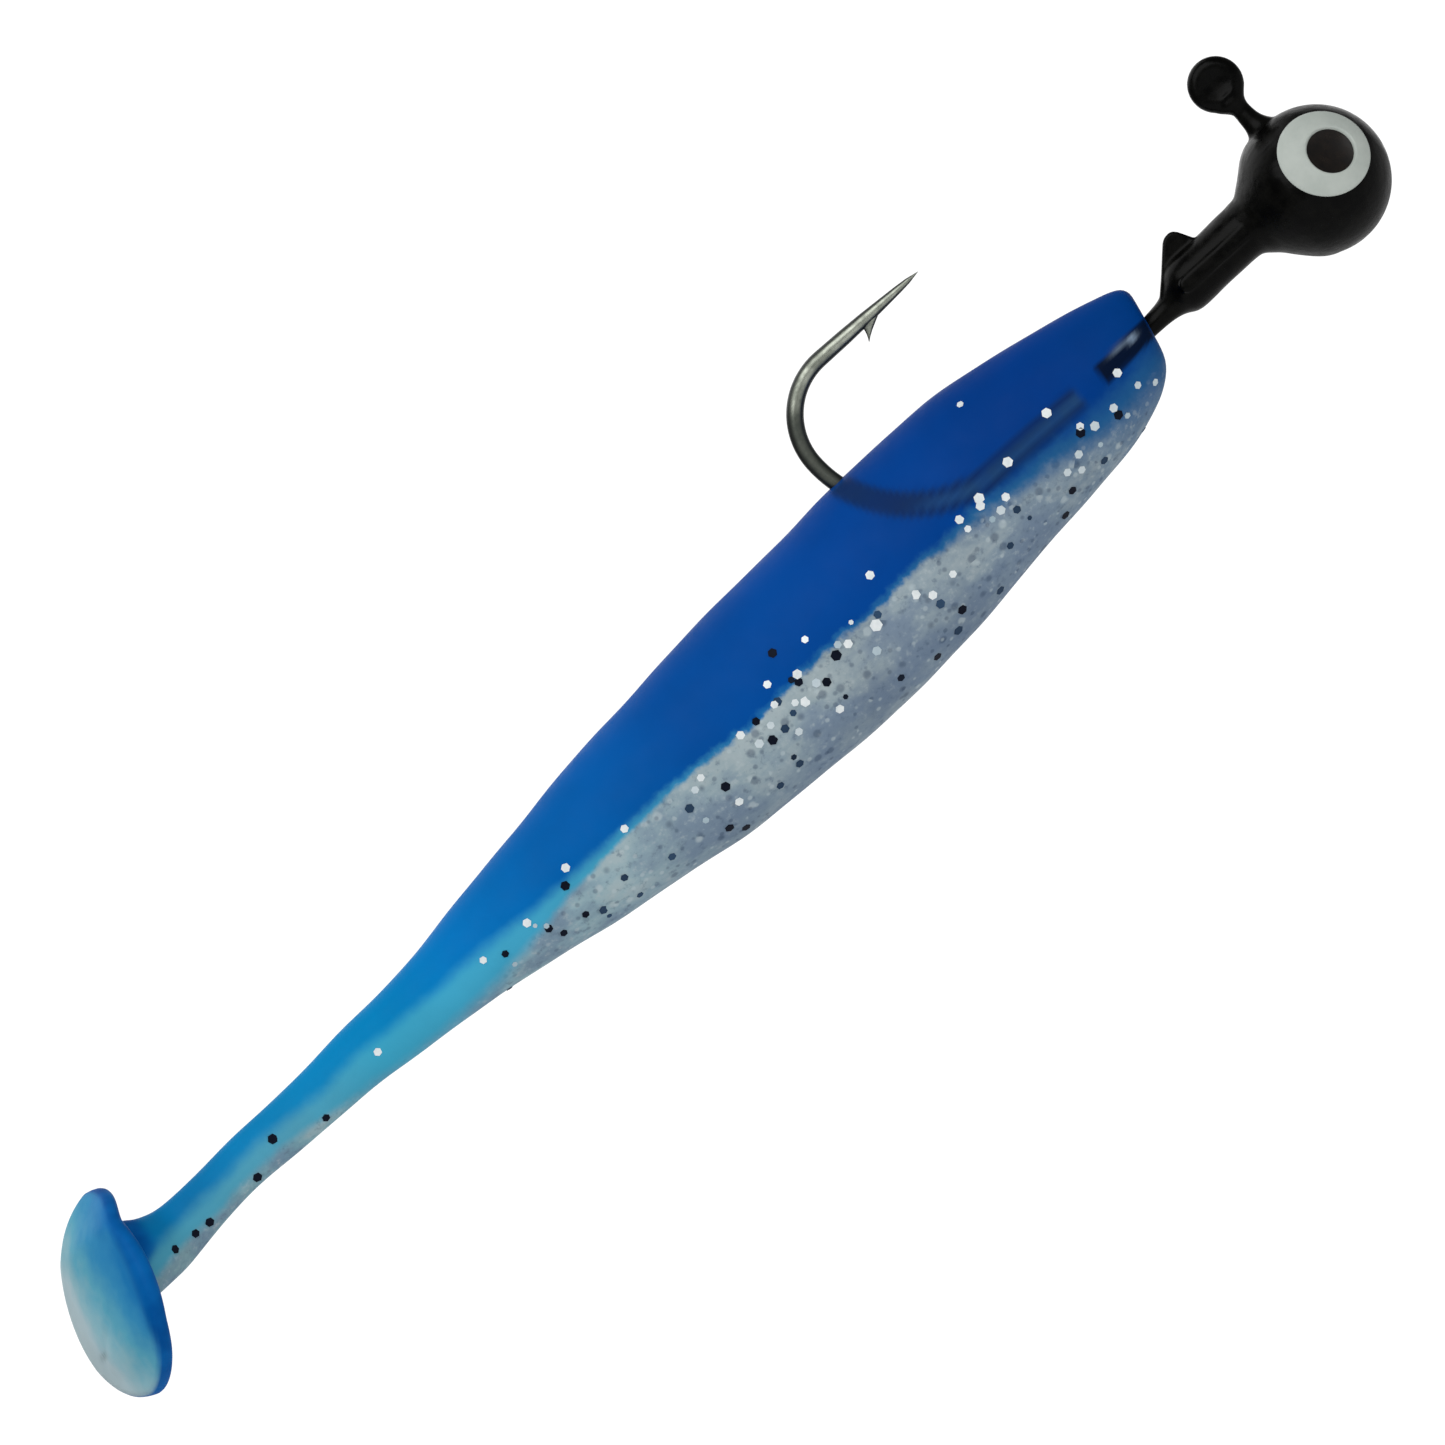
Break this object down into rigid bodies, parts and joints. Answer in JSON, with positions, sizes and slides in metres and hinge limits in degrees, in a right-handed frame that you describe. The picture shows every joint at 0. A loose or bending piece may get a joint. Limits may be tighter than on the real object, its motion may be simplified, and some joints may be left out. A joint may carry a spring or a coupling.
{
  "type": "paddle-tail swimbait on a ball jig head",
  "caption": "Soft paddle-tail minnow body threaded on a painted ball jig head, with an upturned hook, line tie, keeper collar and flexing tail.",
  "frame": {"origin": "centre of the line-tie eye's hole", "axes": "+X along the lure, forward past the nose; +Z towards the bait's back, where the hook's point is; +Y to the lure's left, along the hole of the line tie"},
  "size_m": [0.1213, 0.0152, 0.0227],
  "materials": {
    "hook_steel": "satin",
    "lead": "matte",
    "black_paint": "gloss",
    "eye_white": "satin",
    "eye_dark": "gloss",
    "blue_plastic": "gloss",
    "pearl_plastic": "gloss",
    "silver_glitter": "polished",
    "black_glitter": "gloss"
  },
  "bodies": {
    "jig": {"jig_hook": "hook_steel", "lead_head": "lead", "paint_coat": "black_paint", "eye_ring_left": "eye_white", "eye_ring_right": "eye_white", "eye_pupil_left": "eye_dark", "eye_pupil_right": "eye_dark"},
    "bait": {"back_front": "blue_plastic", "belly_front": "pearl_plastic", "silver_flakes_front": "silver_glitter", "black_flakes_front": "black_glitter"},
    "rear": {"back_body_flex": "blue_plastic", "belly_body_flex": "pearl_plastic", "back_rear": "blue_plastic", "belly_rear": "pearl_plastic", "silver_flakes_rear": "silver_glitter", "black_flakes_rear": "black_glitter"},
    "tail": {"back_tail_flex": "blue_plastic", "belly_tail_flex": "pearl_plastic", "back_stem": "blue_plastic", "belly_stem": "pearl_plastic", "black_flakes_stem": "black_glitter"},
    "paddle": {"back_paddle_flex": "blue_plastic", "belly_paddle_flex": "pearl_plastic", "paddle_blue": "blue_plastic", "paddle_pearl": "pearl_plastic", "silver_flakes_paddle": "silver_glitter", "black_flakes_paddle": "black_glitter"}
  },
  "joints": [
    {"name": "bait_slide", "type": "slide", "parent": "jig", "child": "bait", "axis": [1, 0, 0], "range_m": [0, 0.0095], "deforming": ["back_front", "belly_front", "silver_flakes_front", "black_flakes_front"]},
    {"name": "body_flex", "type": "hinge", "parent": "bait", "child": "rear", "pos_m": [-0.0613, 0, -0.0102], "axis": [0, 0, 1], "range_deg": [-25, 25], "stiffness_Nm_per_rad": 0.02, "deforming": ["back_body_flex", "belly_body_flex"]},
    {"name": "tail_flex", "type": "hinge", "parent": "rear", "child": "tail", "pos_m": [-0.0893, 0, -0.01], "axis": [0, 0, 1], "range_deg": [-40, 40], "stiffness_Nm_per_rad": 0.0006, "deforming": ["back_tail_flex", "belly_tail_flex"]},
    {"name": "paddle_flex", "type": "hinge", "parent": "tail", "child": "paddle", "pos_m": [-0.1043, 0, -0.0102], "axis": [0, 0, 1], "range_deg": [-75, 15], "stiffness_Nm_per_rad": 0.0004, "deforming": ["back_paddle_flex", "belly_paddle_flex"]}
  ]
}
